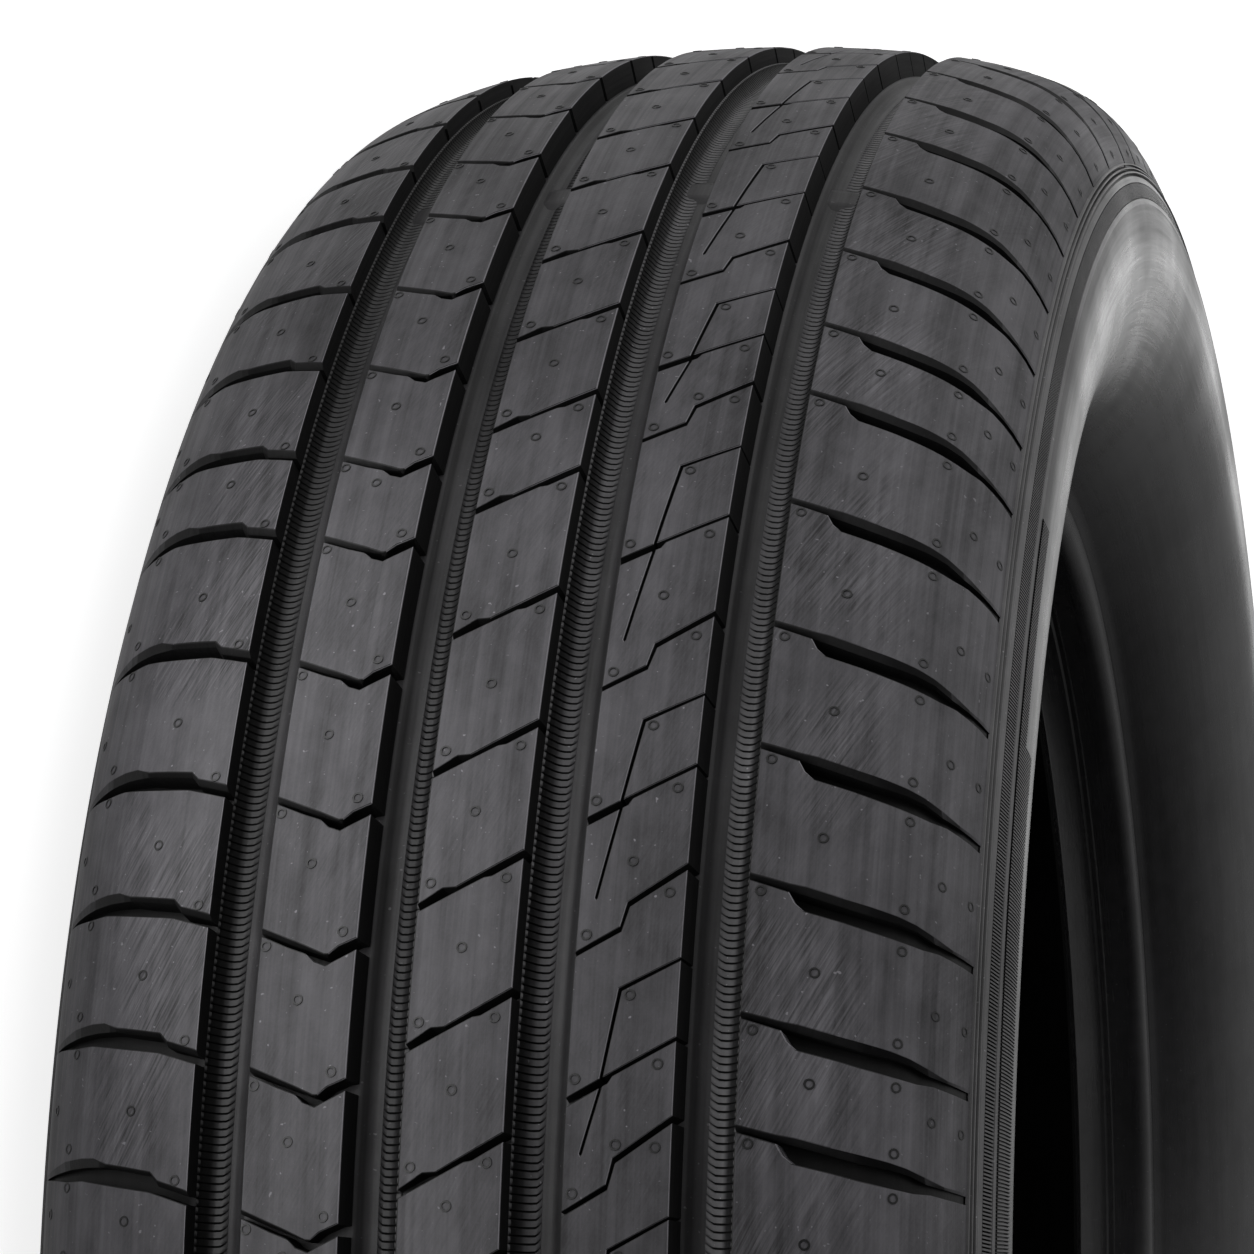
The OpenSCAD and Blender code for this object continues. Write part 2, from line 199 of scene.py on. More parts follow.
def rubber(name, shade, gloss, streak, brush=0.0, shine=0.5, wear_and_shade=None, rim_highlight=0.0,
           valley_shade_rings=(), dull_above=0.0, painted_shade_beyond=0.0):
    """Moulded rubber: a dark base, fine lines round the tyre from the mould, cloudy patches where
    the surface is glossier, slanting brush marks, pale specks of dust, and a fine grain. The faces
    that follow the crown are paler than those turned from it: partly scuffing, and partly painted
    shade on the walls and slopes of the cuts. The level pair gives how level a face is where it starts
    to pale and where it is fully pale, and the rim number how bright a painted highlight on the bevels
    above the cuts is, on their side towards the light. Painted shade in the valleys between ridges is
    given by the rings' radius in millimetres. The rubber is duller above one radius and has painted
    shade beyond one distance from the tread's middle, both in metres."""
    material = bpy.data.materials.new(name)
    material.use_nodes = True
    nodes, links = material.node_tree.nodes, material.node_tree.links
    shader = nodes["Principled BSDF"]
    shader.inputs["Specular IOR Level"].default_value = shine
    place = nodes.new("ShaderNodeTexCoord")
    parts = nodes.new("ShaderNodeSeparateXYZ")
    links.new(place.outputs["Object"], parts.inputs["Vector"])

    def calculate(operation, *values):
        return maths(material.node_tree, operation, *values)

    def sum_of(*values):
        total = values[0]
        for value in values[1:]:
            total = calculate("ADD", total, value)
        return total

    def product_of(*values):
        product = values[0]
        for value in values[1:]:
            product = calculate("MULTIPLY", product, value)
        return product

    # Across the tread, round it, and out from the axis, all in metres
    x, y, z = (parts.outputs[axis] for axis in "XYZ")
    turn = calculate("ARCTAN2", product_of(y, -1.0), product_of(x, -1.0))
    radius = calculate("SQRT", sum_of(product_of(x, x), product_of(y, y)))
    surface = nodes.new("ShaderNodeCombineXYZ")
    links.new(z, surface.inputs["X"])
    links.new(product_of(turn, tread_radius * millimetre), surface.inputs["Y"])
    links.new(radius, surface.inputs["Z"])

    def noise(scale, detail, roughness=0.55, slant=0.0):
        steered = surface.outputs["Vector"]
        if slant:
            tilt = nodes.new("ShaderNodeVectorRotate")
            tilt.rotation_type = "Z_AXIS"
            tilt.inputs["Angle"].default_value = slant
            links.new(steered, tilt.inputs["Vector"])
            steered = tilt.outputs["Vector"]
        mapping = nodes.new("ShaderNodeMapping")
        mapping.inputs["Scale"].default_value = scale
        links.new(steered, mapping.inputs["Vector"])
        texture = nodes.new("ShaderNodeTexNoise")
        texture.inputs["Scale"].default_value = 1.0
        texture.inputs["Detail"].default_value = detail
        texture.inputs["Roughness"].default_value = roughness
        links.new(mapping.outputs["Vector"], texture.inputs["Vector"])
        return texture.outputs["Fac"]

    def spread(value, low, high, to_low, to_high):
        ramp = nodes.new("ShaderNodeMapRange")
        for slot, number in zip((1, 2, 3, 4), (low, high, to_low, to_high)):
            ramp.inputs[slot].default_value = number
        links.new(value, ramp.inputs["Value"])
        return ramp.outputs["Result"]

    # How level a face is with the crown, whose own lean grows evenly along each arc of its section
    turned_out = nodes.new("ShaderNodeNewGeometry")
    face = nodes.new("ShaderNodeSeparateXYZ")
    links.new(turned_out.outputs["Normal"], face.inputs["Vector"])
    outward = calculate("DIVIDE", sum_of(product_of(face.outputs["X"], x), product_of(face.outputs["Y"], y)),
                        radius)
    across = calculate("SUBTRACT", z, middle)
    side = calculate("SIGN", across)
    off_centre = calculate("ABSOLUTE", across)
    leaning = sum_of(*[spread(off_centre, start * millimetre, end * millimetre, 0.0, (end - start) / arc)
                       for start, end, arc in crown_arcs])
    upright = calculate("SQRT", calculate("SUBTRACT", 1.0, product_of(leaning, leaning)))
    level = sum_of(product_of(outward, upright), product_of(face.outputs["Z"], side, leaning))

    streaks = noise((1300, 18, 1300), 4, 0.62)
    wide_streaks = noise((240, 10, 240), 3)
    clouds = noise((26, 20, 26), 4)
    smears = noise((210, 120, 210), 3, 0.6)
    specks = noise((900, 900, 900), 1, 0.5)
    fine = noise((1900, 1900, 1900), 3)
    tones = [spread(streaks, 0.3, 0.7, -0.26 * streak, 0.26 * streak),
             spread(wide_streaks, 0.35, 0.65, -0.42 * streak, 0.42 * streak),
             spread(clouds, 0.3, 0.7, 0.74, 1.26), spread(smears, 0.3, 0.7, -0.18, 0.18),
             spread(specks, 0.74, 0.80, 0.0, 2.2),
             spread(fine, 0.3, 0.7, -0.06, 0.06)]
    if brush:
        # Brush marks lie in patches, most of them on the shoulders, which are paler too
        marks_left = spread(noise((2400, 80, 80), 3, 0.6, -0.45), 0.32, 0.68, -brush, brush)
        patches = spread(noise((30, 30, 30), 2), 0.42, 0.54, 0.15, 1.0)
        tones.append(product_of(marks_left, patches, spread(off_centre, 0.040, 0.056, 0.3, 1.3),
                                spread(off_centre, 0.070, 0.080, 1.0, 0.15)))
    tone = sum_of(*tones)
    if brush:
        tone = product_of(tone, spread(off_centre, 0.056, 0.088, 1.0, 1.42))
    # Painted shade: faces turned away from the crown, the walls and slopes of the cuts, are painted darker
    # than the level faces, which are also scuffed greyer
    if wear_and_shade:
        # A painted highlight on the bevels above the cuts, on their side towards the light
        slanting = calculate("SUBTRACT", product_of(face.outputs["Z"], upright),
                             product_of(outward, leaning, side))
        painted_rim_highlight = product_of(spread(level, 0.36, 0.44, 0.0, rim_highlight), spread(level, 0.955, 0.99, 1.0, 0.0),
                              spread(slanting, 0.2, 0.4, 0.0, 1.0))
        tone = product_of(tone, sum_of(spread(level, *wear_and_shade, 0.05, 1.0), painted_rim_highlight))
    # Painted shade in the valleys between the ridges, at the rings' radii
    for ring in valley_shade_rings:
        beside = calculate("ABSOLUTE", calculate("SUBTRACT", radius, ring * millimetre))
        tone = product_of(tone, spread(beside, 0.00016, 0.00034, 0.08, 1.0))
    # Painted shade beyond a distance from the tread's middle
    if painted_shade_beyond:
        tone = product_of(tone, spread(off_centre, painted_shade_beyond - 0.001, painted_shade_beyond, 1.0, 0.1))
    palest = 3.0
    colour = nodes.new("ShaderNodeMix")
    colour.data_type = "RGBA"
    colour.inputs["A"].default_value = (0, 0, 0, 1)
    colour.inputs["B"].default_value = (*[c * palest for c in shade], 1)
    links.new(spread(tone, 0.0, palest, 0.0, 1.0), colour.inputs["Factor"])
    links.new(colour.outputs["Result"], shader.inputs["Base Color"])
    rough = sum_of(spread(streaks, 0.3, 0.7, 0.07 * streak, -0.07 * streak),
                   spread(wide_streaks, 0.35, 0.65, 0.04 * streak, -0.04 * streak),
                   spread(clouds, 0.3, 0.7, gloss + 0.06, gloss - 0.06),
                   spread(level, 0.2, 0.85, 0.35 if wear_and_shade else 0.0, 0.0))
    if dull_above:
        rough = sum_of(rough, spread(radius, dull_above, dull_above + 0.008, 0.0, 0.09))
    links.new(rough, shader.inputs["Roughness"])
    bump = nodes.new("ShaderNodeBump")
    bump.inputs["Strength"].default_value = 0.6
    bump.inputs["Distance"].default_value = 0.00005
    links.new(sum_of(spread(streaks, 0.0, 1.0, 0.0, 1.6 * streak),
                     spread(fine, 0.0, 1.0, 0.0, 1.0)), bump.inputs["Height"])
    links.new(bump.outputs["Normal"], shader.inputs["Normal"])
    return material


# The ribs stand between four grooves, given by their middles and half their width at the top. A
# rib's blocks reach down to the cut depth, and its sides slope with the grooves' draft.
cut_depth = 6.3
groove_draft = 9.0
groove_top = 5.9
groove_step = 32.1
groove_middles = [groove_step * i for i in (-1.5, -0.5, 0.5, 1.5)]
wall_out = cut_depth * tan(radians(groove_draft))
slice_width = 3.4
slice_length = 6.0
# The tread's rubber has painted shade on the walls and slopes of its blocks and a painted highlight on the
# bevels above the cuts
tread_rubber = rubber("tread_rubber", (0.065, 0.063, 0.0685), 0.47, 0.6, brush=0.42, shine=0.25,
                      wear_and_shade=(0.95, 0.992), rim_highlight=5.0)


def blocks_of(rib, low_top, low_foot, high, chamfer, outs, slices, thin=None):
    """The blocks of one rib, one for each of the three pitch lengths. The lower edge has a bevel as
    deep as the chamfer where its foot lies below its top, and the outs slope the two sides."""
    left, right = rib
    top = edge_points(low_top, [low_foot], left, right)
    foot = edge_points(low_foot, [low_top], left, right)
    made = {}
    for pitch in (short, medium, long):
        up = pitch * fit_round * round_mm
        above = [(x, y + up) for x, y in edge_points(high, [], left, right)]
        levels = []
        for depth in [cut_depth, chamfer] if chamfer else [cut_depth]:
            levels.append((-depth, outline(foot, above, *[out * depth / cut_depth for out in outs])))
        levels.append((0.0, outline(top, above)))
        # The face is divided clear of its slanting edges
        start, end = max(y for x, y in top) + 1, min(y for x, y in above) - 1
        bm = cast_block(levels, 0.2, slices, [start] + evenly(start, end, slice_length) + [end])
        roll_up(bm, thin=thin)
        made[pitch] = as_mesh(bm)
    return made


def round_the_tyre(name, made):
    places = [(made[pitch], marks[i + 1]) for i, pitch in enumerate(pitches)]
    lay_round(name, places, tread_rubber, crisp=12)


rib_3 = (groove_middles[1] + groove_top, groove_middles[2] - groove_top)
rib_3_low = [(-10.15, 0.65), (-5.4, 3.9), (-2.8, 4.1), (10.15, 11.9)]
rib_3_high = [(-10.15, -0.9), (2.6, 6.2), (4.2, 6.5), (10.15, 10.1)]
round_the_tyre("rib_3", blocks_of(rib_3, rib_3_low, rib_3_low, rib_3_high, 0, (wall_out, wall_out),
                                  evenly(*rib_3, slice_width)))

# Second rib
# The rib left of the centre groove, black rubber. Its blades are bent to a chevron that opens under
# its point, and its left arm has a soft bevel above the cut.
rib_2 = (groove_middles[0] + groove_top, groove_middles[1] - groove_top)
rib_2_foot = [(-42.7, -4.08), (-36.2, -6.67), (-28.0, -9.49), (-25.7, -7.67), (-22.4, -6.23)]
rib_2_top = [(-42.7, -3.3), (-33.2, -7.1), (-28.6, -9.1), (-27.6, -9.1), (-25.7, -7.5), (-22.4, -6.05)]
rib_2_high = [(-42.8, -4.74), (-36.1, -7.56), (-32.5, -8.8), (-30.5, -10.5), (-28.0, -11.4),
              (-26.4, -10.5), (-22.1, -8.3)]
round_the_tyre("rib_2", blocks_of(rib_2, rib_2_top, rib_2_foot, rib_2_high, 1.0, (wall_out, wall_out),
                                  evenly(*rib_2, slice_width)))

# Fourth rib
# The rib right of the centre, black rubber. Stepped cuts and plain cuts take turns, and a long thin
# blade crosses each plain cut and bends off to the right-hand groove.
rib_4 = (groove_middles[2] + groove_top, groove_middles[3] - groove_top)
# Its cuts lie this far round from the marks, in degrees
rib_4_lead = 3.35
stepped_low = [(21.7, 0.45), (30.2, 5.95), (31.3, 11.0), (42.0, 19.2)]
stepped_high = [(21.7, -0.45), (30.5, 5.05), (31.8, 10.1), (42.0, 17.8)]
plain_low = [(21.7, 0.0), (42.0, 12.4)]
plain_high = [(21.7, -1.7), (29.7, 3.19), (30.5, 4.58), (42.0, 11.6)]
# Half the blade's thickness, where it crosses the plain cut, where it bends off below the stepped
# cut above, and where it ends above the stepped cut below
blade_half = 0.3
crossing = 28.4
bend_x, bend_down = 31.1, 6.4
foot_x, foot_up = 25.2, 11.3


def cast_fourth(up, down):
    """The three blocks from one stepped cut to the next, split by the blade."""
    left, right = rib_4
    before, after = crossing - blade_half, crossing + blade_half
    low = edge_points(plain_low, [], left, right)
    high = [(x, y + up) for x, y in edge_points(stepped_high, [], left, right)]
    bend_y = up - bend_down
    over_blade = [low[0], (before, follow(plain_low, before)),
                  (bend_x - blade_half, bend_y + blade_half * 0.6), (right, up + blade_half)] + high[::-1]
    under_blade = [(after, follow(plain_low, after)), low[-1], (right, up - blade_half),
                   (bend_x + blade_half, bend_y - blade_half)]
    low = [(x, y - down) for x, y in edge_points(stepped_low, [], left, right)]
    high = edge_points(plain_high, [], left, right)
    foot_y = foot_up - down
    slit = [(after, follow(plain_high, after)), (foot_x + 0.2, foot_y + 0.3), (foot_x - 0.1, foot_y),
            (foot_x - 0.3, foot_y + 0.4), (before, follow(plain_high, before))]
    with_slit = (low + [p for p in high if p[0] > crossing][::-1] + slit
                 + [p for p in high if p[0] < crossing][::-1])
    blocks = []
    for ring in (over_blade, under_blade, with_slit):
        foot = [(x - wall_out if abs(x - left) < 0.01 else x + wall_out if abs(x - right) < 0.01 else x, y)
                for x, y in ring]
        ys = [y for x, y in ring]
        bm = cast_block([(-cut_depth, foot), (0.0, ring)], 0.16, evenly(left, right, slice_width),
                        evenly(min(ys), max(ys), slice_length))
        roll_up(bm, rib_4_lead)
        blocks.append(as_mesh(bm))
    return blocks


fourth = {}
fourth_places = []
for i in range(1, len(pitches), 2):
    pair = (pitches[i], pitches[(i + 1) % len(pitches)])
    if pair not in fourth:
        fourth[pair] = cast_fourth(*[p * fit_round * round_mm for p in pair])
    fourth_places += [(mesh, marks[i + 1]) for mesh in fourth[pair]]
lay_round("rib_4", fourth_places, tread_rubber, crisp=12)

# Right shoulder
# The outer rib on the right, black rubber. A fine cut steps open into a slot with a bevel above it,
# and the slot runs out over the rounded shoulder.
rib_5 = (groove_middles[3] + groove_top, half_tread)


def in_mm(xs, turns):
    """A cut's edge in millimetres, from places across the tread and degrees round it."""
    return sorted((x, turned * round_mm) for x, turned in zip(xs, turns))


rib_5_top = in_mm([54.4, 58, 61.5, 64.9, 71.7, 76.7, 81.5, 84.7, 87.7, 90.6, 93.5],
                  [6.6, 6.46, 6.32, 6.24, 5.96, 5.78, 5.6, 5.43, 5.18, 4.92, 4.84])
rib_5_foot = in_mm([53.8, 61.3, 76.1, 81.6, 84.7, 87.8, 93.2], [6.48, 6.16, 5.51, 5.36, 5.22, 4.93, 4.71])
rib_5_high = in_mm([54.2, 61.6, 62.8, 64.6, 72, 77, 81.8, 85.8, 88.5, 93.6],
                   [6.38, 6.03, 5.64, 5.36, 5.08, 4.86, 4.68, 4.55, 4.56, 4.37])
slot_depth = 6.5
slot_end = half_tread + 4.0
run_out = 28.0
buried = 0.45


def slot_at(x):
    """Depth of a shoulder slot at x: full at first, and less and less towards the slot's end."""
    return slot_depth * min(1.0, (slot_end - abs(x)) / run_out)


def shoulder_thin(x):
    """Share of a block's full depth that the shoulder's blocks have at x, with a buried foot."""
    return (slot_at(x) + buried) / cut_depth


bend = crown_arcs[-1][0]
shoulder_slices = evenly(rib_5[0], bend, 3.5) + [bend] + evenly(bend, half_tread, 1.6)
round_the_tyre("rib_5", blocks_of(rib_5, rib_5_top, rib_5_foot, rib_5_high, 1.2, (wall_out, 0.0),
                                  shoulder_slices, shoulder_thin))

# Left shoulder
# The outer rib on the left, black rubber. Its slot turns the other way, with the step above the
# cut and a narrow bevel over the fine part.
rib_1 = (-half_tread, groove_middles[0] - groove_top)
rib_1_high = in_mm([-55, -62.6, -69.9, -78.7, -83.3, -88.2], [-0.42, 0, 0.19, 0.45, 0.44, 0.57])
rib_1_top = in_mm([-54.2, -60.9, -62.6, -73, -73.5, -76.2, -79.4, -84.1, -88],
                  [0.02, 0.39, 0.70, 1.02, 1.06, 1.26, 1.29, 1.23, 1.01])
rib_1_foot = in_mm([-54.2, -60.9, -62.6, -73, -78.1, -82.5, -88], [-0.16, 0.21, 0.59, 0.93, 0.95, 0.90, 0.76])
round_the_tyre("rib_1", blocks_of(rib_1, rib_1_top, rib_1_foot, rib_1_high, 1.2, (0.0, wall_out),
                                  [-x for x in shoulder_slices], shoulder_thin))

# Casing under the tread
# The rubber that carries the ribs: floors of the cuts, and the four grooves round the tyre with their
# drafted walls and rounded corners.
groove_depth = 8.0
groove_fillet = 3.4
groove_lean = tan(radians(groove_draft))
groove_base = groove_top - groove_depth * groove_lean
overlap = 0.3
sectors = 30


def groove_side(turns):
    """Half a groove's section from its wall to its floor, as distance from the middle and depth."""
    return [(groove_base - groove_fillet * (1 - sin(radians(t))),
             groove_depth - groove_fillet * (1 - cos(radians(t)))) for t in turns]


def groove_line(mid):
    """Section of a groove below the feet of the ribs, from left to right."""
    wall = cut_depth - overlap
    side = [(groove_top - wall * groove_lean, wall)] + groove_side((58, 38, 18, 0))
    left = [(mid - x, crown(mid - x) - depth) for x, depth in side]
    right = [(mid + x, crown(mid + x) - depth) for x, depth in side]
    return left + right[::-1]


def slot_floor(x):
    """Radius of the casing at x under a shoulder, a little below the slots' full depth."""
    return crown(x) - slot_at(x) - 0.15


def spin_sector(points, steps, closed=True):
    """One sector of a section, given as (x, radius) in millimetres, spun round the tyre's axis."""
    bm = bmesh.new()
    ring = [bm.verts.new((0, -r * millimetre, middle + x * millimetre)) for x, r in points]
    edges = [bm.edges.new(pair) for pair in zip(ring, ring[1:] + ring[:1] if closed else ring[1:])]
    bmesh.ops.spin(bm, geom=ring + edges, cent=(0, 0, 0), axis=(0, 0, 1), angle=2 * pi / sectors,
                   steps=steps // sectors, use_merge=False, use_duplicate=False)
    return bm


def join_sectors(name, sector, material, crisp=38, places=range(sectors)):
    """A piece out of one sector, repeated at every place or only at some, and welded."""
    mesh = as_mesh(sector)
    lay_round(name, [(mesh, 360 / sectors * i) for i in places], material, 0.00001, crisp)


under = [(x, slot_floor(x)) for x in (-93.4, -91, -88, -84, -80, -75, -69.6, -60)]
for mid in groove_middles:
    under += groove_line(mid)
    if mid < groove_middles[-1]:
        rib_x = mid + groove_step / 2
        under.append((rib_x, crown(rib_x) - cut_depth + overlap))
under += [(x, slot_floor(x)) for x in (60, 69.6, 75, 80, 84, 88, 91, 93.4)]
under_crown = [(84, 284.5), (77, 291), (67, 296), (54, 299), (17, 302.5)]
casing = under + under_crown + [(-x, r) for x, r in under_crown[::-1]]
# Painted shade on the walls and corners of the grooves, and on the floors under the shoulder slots
casing_rubber = rubber("casing_rubber", (0.036, 0.035, 0.037), 0.44, 0.6, shine=0.3, wear_and_shade=(0.5, 1.0),
                       painted_shade_beyond=0.056)
join_sectors("casing", spin_sector(casing, 720), casing_rubber)

# Knurled strips
# Fine rounded ribs across one side of each groove, cut into the mould so that the groove sheds
# stones. They start on the wall, turn over the corner and die out with a small hook on the floor.
knurl_round = 1260
knurl_height = 0.42
knurl_gap = 0.28
knurl_steps = 4


def knurled(name, section, material, count, height, gap=0.5, places=range(sectors)):
    """A strip whose surface rises and falls count times round the tyre. Each point of its section is
    x, radius, how far across and out a knurl pushes it, and how far it lags round the tyre. The gap
    is the share of each repeat that the valley takes."""
    bm = spin_sector([(x, r) for x, r, *rest in section], count * knurl_steps, closed=False)
    rows = {round((middle + x * millimetre) * 1e6): rest for x, r, *rest in section}
    for v in bm.verts:
        across, out, lag = rows[round(v.co.z * 1e6)]
        turn, reach = atan2(v.co.x, -v.co.y), hypot(v.co.x, v.co.y)
        rise = min(1.0, 1.6 * abs(sin(turn / 2 * count))) * height * millimetre
        turn += (lag - (0.25 - gap / 2) * sin(turn * count)) * 2 * pi / count
        reach += out * rise
        v.co = reach * sin(turn), -reach * cos(turn), v.co.z + across * rise
    join_sectors(name, bm, material, 50, places)


# Strips 3 and 4 are painted far paler than strips 1 and 2, as painted light for the highlights on their
# knurls, and all four have painted shade on their wall side
for number, mid, side, start, end, strip_tone_with_light in ((1, -48.15, -1, 4.0, 1.4, 0.026), (2, -16.05, 1, 5.6, 1.2, 0.026),
                                            (3, 16.05, -1, 4.0, 1.0, 0.100), (4, 48.15, 1, 4.6, 1.6, 0.090)):
    knurl_rubber = rubber(f"knurl_rubber_{number}", (strip_tone_with_light, strip_tone_with_light * 0.98, strip_tone_with_light * 1.03), 0.42, 0.3, shine=0.35,
                          wear_and_shade=(0.55, 0.95))
    depths = evenly(start, cut_depth - 0.5, 0.8)
    strip = [(groove_top - start * groove_lean, start, 0.0, 0.0, 0.0)]
    strip += [(groove_top - d * groove_lean, d, 1.0, 0.0, 0.0) for d in [start + 0.2, *depths]]
    strip += [(x, d, sin(radians(t)), cos(radians(t)), 0.0)
              for t, (x, d) in zip((66, 48, 32, 16), groove_side((66, 48, 32, 16)))]
    strip += [(0.9, groove_depth, 0.0, 1.0, -0.05), (0.9 - end * 0.5, groove_depth, 0.0, 0.7, -0.3),
              (0.9 - end, groove_depth, 0.0, 0.0, -0.7)]
    section = [(mid + side * x, crown(mid + side * x) - d + 0.06, -side * across, out, lag)
               for x, d, across, out, lag in strip]
    knurled(f"knurl_{number}", section, knurl_rubber, knurl_round, knurl_height, knurl_gap)

# Wear bars
# Low bars across the floors of the grooves, at six places round the tyre. The tread is worn out
# when they come level with it.
bars_round = 6
first_bar = 51.5
bar_length = 16.0
bar_above, bar_below = 0.95, 0.75
bars = []
for mid in groove_middles:
    bm = bmesh.new()
    bmesh.ops.create_cube(bm, size=1.0)
    bmesh.ops.scale(bm, vec=(2 * groove_top, bar_length, bar_above + bar_below), verts=bm.verts)
    bmesh.ops.translate(bm, vec=(mid, 0, (bar_above - bar_below) / 2 - groove_depth), verts=bm.verts)
    top = [v for v in bm.verts if v.co.z > -groove_depth]
    bmesh.ops.scale(bm, vec=(0.9, 0.4, 1), space=Matrix.Translation((-mid, 0, 0)), verts=top)
    across = [e for e in bm.edges if abs(e.verts[0].co.y - e.verts[1].co.y) < 0.01
              and all(v in top for v in e.verts)]
    bmesh.ops.bevel(bm, geom=across, offset=0.8, segments=3, profile=0.5, affect="EDGES", material=-1)
    roll_up(bm)
    bar = as_mesh(bm)
    bars += [(bar, first_bar + 360 / bars_round * i) for i in range(bars_round)]
lay_round("wear_bars", bars, casing_rubber)

# Vent marks
# Small rings left where the mould's air vents were trimmed off, several on each block. Each is
# given by its place across the tread and its degrees round from the block's mark.
vent_radius = 1.15
vent_foot = -0.04
vents_in_pitch = [(-56.9, 0.40), (-68.0, 2.95), (-83.3, 1.69), (-83.1, 0.23), (-88.4, 3.28),
                  (-33.2, 1.76), (-25.1, -0.83), (-41.0, -1.30),
                  (-8.0, 0.91), (7.1, 1.11), (-0.5, 3.60),
                  (56.4, 5.99), (67.2, 8.18), (82.5, 5.93), (82.5, 4.32), (88.5, 7.23), (92.8, 7.02)]
vents_by_stepped = [(23.8, 0.76), (39.2, 2.41), (33.0, -1.35)]
vents_by_plain = [(31.7, -1.54), (23.4, 0.7), (39.0, 1.3)]


def vent(x, turned):
    """A thin raised ring: a circle drawn out three times, with its middle left open. It is narrowed
    to stay round where the tread leans."""
    bm = bmesh.new()
    slope = crown(x + 0.5) - crown(x - 0.5)
    ring = bmesh.ops.create_circle(bm, segments=12, radius=vent_radius)["verts"]
    y = turned * round_mm
    bmesh.ops.translate(bm, vec=(x, y, vent_foot), verts=ring)
    edges = first = bm.edges[:]
    for inset, height in ((0.06, vent_height), (0.40, vent_height), (0.46, vent_foot)):
        grown = bmesh.ops.extrude_edge_only(bm, edges=edges)["geom"]
        edges = [part for part in grown if isinstance(part, bmesh.types.BMEdge)]
        for v in {v for edge in edges for v in edge.verts}:
            away = Vector((v.co.x - x, v.co.y - y, 0)).normalized() * (vent_radius - inset)
            v.co = x + away.x, y + away.y, height
    bmesh.ops.bridge_loops(bm, edges=first + edges)
    for v in bm.verts:
        v.co.x = x + (v.co.x - x) / hypot(1, slope)
    roll_up(bm)
    return as_mesh(bm)


vents = []
for x, turned in vents_in_pitch:
    mark = vent(x, turned)
    vents += [(mark, angle) for angle in marks[1:]]
for places, first in ((vents_by_stepped, 1), (vents_by_plain, 0)):
    for x, turned in places:
        mark = vent(x, turned + rib_4_lead)
        vents += [(mark, marks[i]) for i in range(first, len(pitches), 2)]
# The vent rings are painted nearly black, as painted shade for the thin groove round each vent
vent_shade_rubber = rubber("vent_shade_rubber", (0.004, 0.004, 0.0042), 0.42, 0.0)
lay_round("vent_marks", vents, vent_shade_rubber)

# Sidewalls and beads
# The two walls from the tread edge to the rim, black rubber over the plies. Thin ridges run under
# the tread edge, and each wall ends in the bead that sits on the rim.
wall_x, wall_r = 98.6, 264.0
edge_x, edge_r = 94.2, 282.5
rise, run_in = edge_r - wall_r, wall_x - edge_x
upper_arc = (run_in ** 2 + rise ** 2) / (2 * run_in)
flange_x, flange_r = 69.5, 211.3
lower_arc = ((wall_x - flange_x) ** 2 + (wall_r - flange_r) ** 2) / (2 * (wall_x - flange_x))
lower_end = degrees(asin((wall_r - flange_r) / lower_arc))
bead_radius = 202.8
heel_x, heel_round = 60.1, 5.5


def wall_line(radius, out=0.0):
    """Place of the upper sidewall at a radius, moved out by a height."""
    return (wall_x - upper_arc + sqrt(upper_arc ** 2 - (radius - wall_r) ** 2) + out, radius)


ridges = [(283.62, -0.3), (283.45, 0.4), (283.2, 0.4), (283.0, -0.6), (282.65, -0.6), (282.45, 0.4),
          (282.2, 0.4), (282.0, -0.5), (281.7, -0.5), (281.5, 0.5), (281.15, 0.5), (280.9, -0.4),
          (280.5, -0.2), (280.3, 0.05), (278.8, 0.05), (278.6, -0.66), (275.0, -0.66), (274.8, 0.1),
          (273.5, 0.1), (273.3, 0.0)]
edge_line = [(93.4, 283.9)] + [wall_line(*ridge) for ridge in ridges]
outer_wall = [(wall_x - lower_arc + lower_arc * cos(radians(a)), wall_r - lower_arc * sin(radians(a)))
               for a in evenly(0, lower_end, 4.5)]
outer_wall += [(flange_x, flange_r), (68.2, 210.5), (67.0, 209.6), (66.0, 208.6)]
outer_wall += [(heel_x + heel_round * cos(radians(a)), bead_radius + heel_round * (1 - sin(radians(a))))
               for a in (0, 20, 40, 60, 75, 90)]
outer_wall += [(54.6, bead_radius), (54.0, bead_radius + 0.5), (52.8, bead_radius + 0.5), (52.2, bead_radius),
               (50.1, bead_radius), (44.8, bead_radius + 0.8), (44.2, bead_radius + 1.2), (44.0, 204.6)]
chamber = [(41.8, 207.1), (47.3, 216.4), (55.6, 224.0), (66.6, 229.7), (80.4, 233.6), (83.8, 239.1),
           (86.5, 245.0), (88.4, 251.2), (89.6, 257.5), (90.0, 264.0), (89.8, 267.6), (89.2, 270.8),
           (88.2, 274.0), (83.9, 282.8), (76.7, 289.7), (66.7, 294.8), (54.0, 298.0), (16.7, 301.5)]


def into_rubber(points, distance):
    """The chamber's section moved outwards from the middle of the chamber."""
    chamber_middle = 255
    moved = []
    for x, r in points:
        away = hypot(x, r - chamber_middle)
        moved.append((x + distance * x / away, r + distance * (r - chamber_middle) / away))
    return moved


wall_rubber = rubber("wall_rubber", (0.030, 0.0295, 0.031), 0.27, 0.4, dull_above=0.263)
